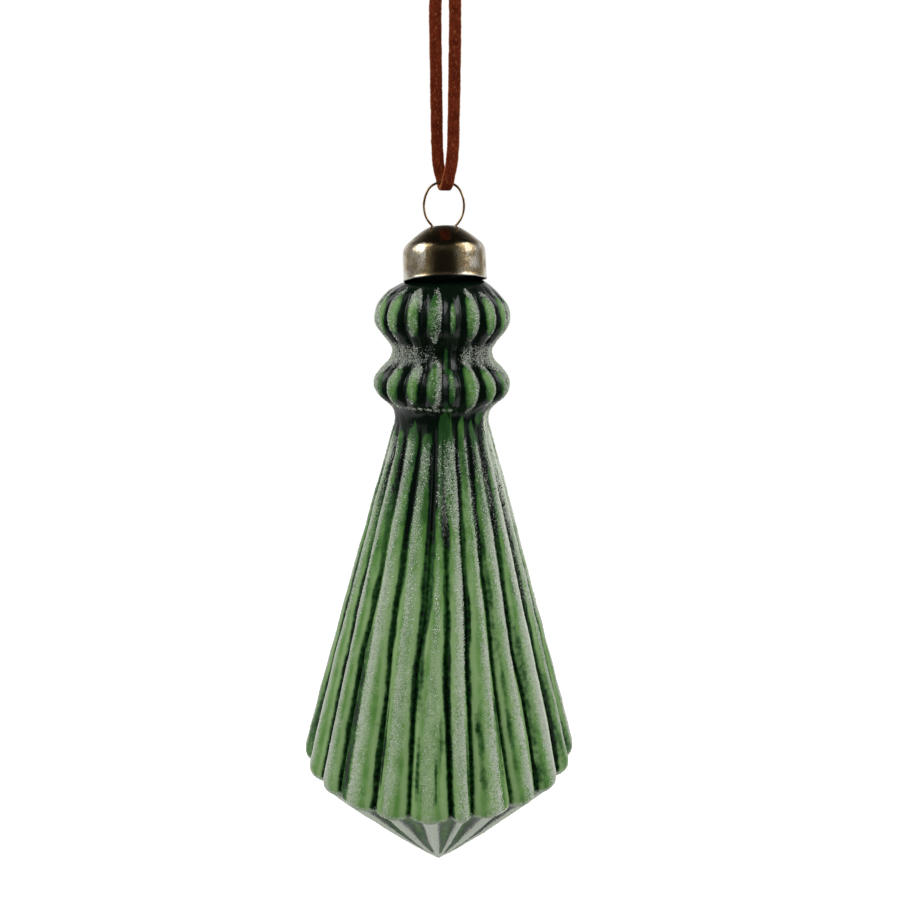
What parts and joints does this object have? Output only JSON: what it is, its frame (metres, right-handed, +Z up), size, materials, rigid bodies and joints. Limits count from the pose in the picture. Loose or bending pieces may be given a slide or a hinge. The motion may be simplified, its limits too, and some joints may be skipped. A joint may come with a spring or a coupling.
{
  "type": "hanging finial ornament",
  "caption": "Hanging finial ornament: a hollow ribbed glass drop under a domed brass cap, held by a wire ring in a suede lace loop.",
  "frame": {"origin": "where the lace loop hangs on its hook, at the inside top of the loop, under the knot", "axes": "+Z up along the ornament, -Y is the front that the picture shows, +X to the viewer's right"},
  "size_m": [0.0763, 0.0763, 0.2596],
  "materials": {
    "suede": "brown suede, napped",
    "wire": "dark aged brass wire",
    "cap": "aged brass sheet, satin, mottled",
    "glass": "opaque green glass, dark glossy grooves, frosted crests"
  },
  "bodies": {
    "lace": {"lace_loop": "suede", "lace_knot": "suede"},
    "hanger": {"hanger_wire": "wire"},
    "cap": {"cap": "cap"},
    "glass": {"glass_body": "glass"}
  },
  "joints": [
    {"name": "hanger_swing", "type": "hinge", "parent": "lace", "child": "hanger", "pos_m": [0, 0, -0.04703], "axis": [1, 0, 0], "range_deg": [-60, 60]},
    {"name": "cap_spin", "type": "hinge", "parent": "hanger", "child": "cap", "pos_m": [0, 0, -0.05763], "axis": [0, 0, 1], "continuous": true},
    {"name": "glass_pull", "type": "slide", "parent": "cap", "child": "glass", "axis": [0, 0, -1], "range_m": [0, 0.024]}
  ]
}
